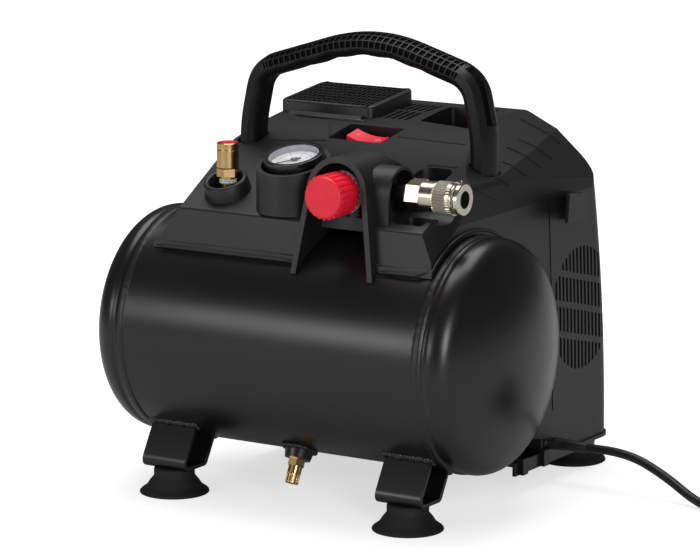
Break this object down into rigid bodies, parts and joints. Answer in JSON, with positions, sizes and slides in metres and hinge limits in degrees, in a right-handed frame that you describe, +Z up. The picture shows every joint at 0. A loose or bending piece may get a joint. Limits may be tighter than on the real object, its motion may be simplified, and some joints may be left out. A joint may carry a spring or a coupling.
{
  "type": "air compressor",
  "caption": "Small portable oil-free air compressor: lying tank on suction feet, moulded cover with carry handle, gauge, regulator knob and quick coupler.",
  "frame": {"origin": "middle of the footprint on the floor, cord left out", "axes": "+Z up, +X along the tank towards the air outlet, -Y towards the controls"},
  "size_m": [0.5095, 0.2858, 0.3205],
  "materials": {
    "tank_paint": "satin black paint",
    "cover_plastic": "fine textured dark grey",
    "handle_plastic": "fine textured dark grey",
    "foot_rubber": "matte black",
    "red_plastic": "satin red",
    "brass": "turned",
    "nickel": "warm nickel plate",
    "zinc_steel": "zinc plated",
    "gauge_black": "satin black",
    "switch_black": "black",
    "dial_white": "printed white",
    "clear_lens": "clear",
    "white_plastic": "plain",
    "cast_alloy": "as cast",
    "motor_steel": "dark",
    "copper_pipe": "drawn copper",
    "cord_black": "smooth black"
  },
  "bodies": {
    "compressor": {"check_valve": "brass", "cord_hook": "cover_plastic", "coupler_body": "nickel", "cover_screws": "zinc_steel", "crankcase": "cast_alloy", "cylinder": "cast_alloy", "cylinder_head": "cast_alloy", "delivery_pipe": "copper_pipe", "drain_valve": "brass", "foot_bolts": "zinc_steel", "foot_bracket_left": "tank_paint", "foot_bracket_right": "tank_paint", "foot_front_left": "foot_rubber", "foot_front_right": "foot_rubber", "foot_rear_left": "foot_rubber", "foot_rear_right": "foot_rubber", "front_cover": "cover_plastic", "gauge_bezel": "gauge_black", "gauge_case": "gauge_black", "gauge_dial": "dial_white", "gauge_lens": "clear_lens", "handle": "handle_plastic", "handle_screws": "zinc_steel", "head_bolts": "zinc_steel", "intake_filter": "switch_black", "manifold": "switch_black", "motor_base": "tank_paint", "motor_bearings": "zinc_steel", "motor_brushes": "switch_black", "motor_case": "motor_steel", "motor_cradle": "tank_paint", "motor_stator": "motor_steel", "mount_bolts": "zinc_steel", "plug": "cord_black", "power_cord": "cord_black", "power_cord_coil": "cord_black", "pressure_switch": "switch_black", "rear_cover": "cover_plastic", "regulator_body": "switch_black", "regulator_nut": "white_plastic", "rubber_mounts": "foot_rubber", "safety_valve_body": "brass", "strain_relief": "switch_black", "switch_body": "switch_black", "tank_end_left": "tank_paint", "tank_end_right": "tank_paint", "tank_shell": "tank_paint", "valve_plate": "cast_alloy"},
    "rocker": {"switch_rocker": "red_plastic"},
    "pointer": {"gauge_pointer": "gauge_black"},
    "relief_pull": {"safety_valve_pull": "red_plastic"},
    "stem": {"regulator_stem": "nickel"},
    "knob": {"regulator_knob": "red_plastic"},
    "sleeve": {"coupler_sleeve": "nickel"},
    "drain": {"drain_screw": "brass"},
    "shaft": {"crankshaft": "zinc_steel", "motor_rotor": "motor_steel", "cooling_fan": "switch_black"},
    "piston": {"piston_rod": "cast_alloy"}
  },
  "joints": [
    {"name": "rocker_tilt", "type": "hinge", "parent": "compressor", "child": "rocker", "pos_m": [-0.0152, 0.01608, 0.23329], "axis": [0, 0.9818, 0.1897], "range_deg": [-18, 0]},
    {"name": "gauge_needle", "type": "hinge", "parent": "compressor", "child": "pointer", "pos_m": [-0.01, -0.0881, 0.2445], "axis": [0, 0.2672, -0.9636], "range_deg": [0, 270], "stiffness_Nm_per_rad": 0.0002},
    {"name": "relief_lift", "type": "slide", "parent": "compressor", "child": "relief_pull", "axis": [0, 0, 1], "range_m": [0, 0.0015], "stiffness_N_per_m": 3000, "springref_m": -0.003},
    {"name": "regulator_turn", "type": "hinge", "parent": "compressor", "child": "stem", "pos_m": [0.0415, -0.1011, 0.2245], "axis": [0, -1, 0], "range_deg": [-720, 720]},
    {"name": "knob_pull", "type": "slide", "parent": "stem", "child": "knob", "axis": [0, -1, 0], "range_m": [0, 0.003]},
    {"name": "sleeve_slide", "type": "slide", "parent": "compressor", "child": "sleeve", "axis": [-1, 0, 0], "range_m": [0, 0.003], "stiffness_N_per_m": 1500, "springref_m": -0.003},
    {"name": "drain_turn", "type": "hinge", "parent": "compressor", "child": "drain", "pos_m": [0, -0.09661, 0.0407], "axis": [0, -0.4384, -0.8988], "range_deg": [0, 720]},
    {"name": "shaft_turn", "type": "hinge", "parent": "compressor", "child": "shaft", "pos_m": [0, 0.0789, 0.118], "axis": [1, 0, 0], "continuous": true},
    {"name": "piston_swing", "type": "hinge", "parent": "shaft", "child": "piston", "pos_m": [-0.045, 0.0789, 0.123], "axis": [1, 0, 0], "continuous": true}
  ],
  "couplings": [
    {"joint": "piston_swing", "follows": "shaft_turn", "ratio": -1}
  ]
}
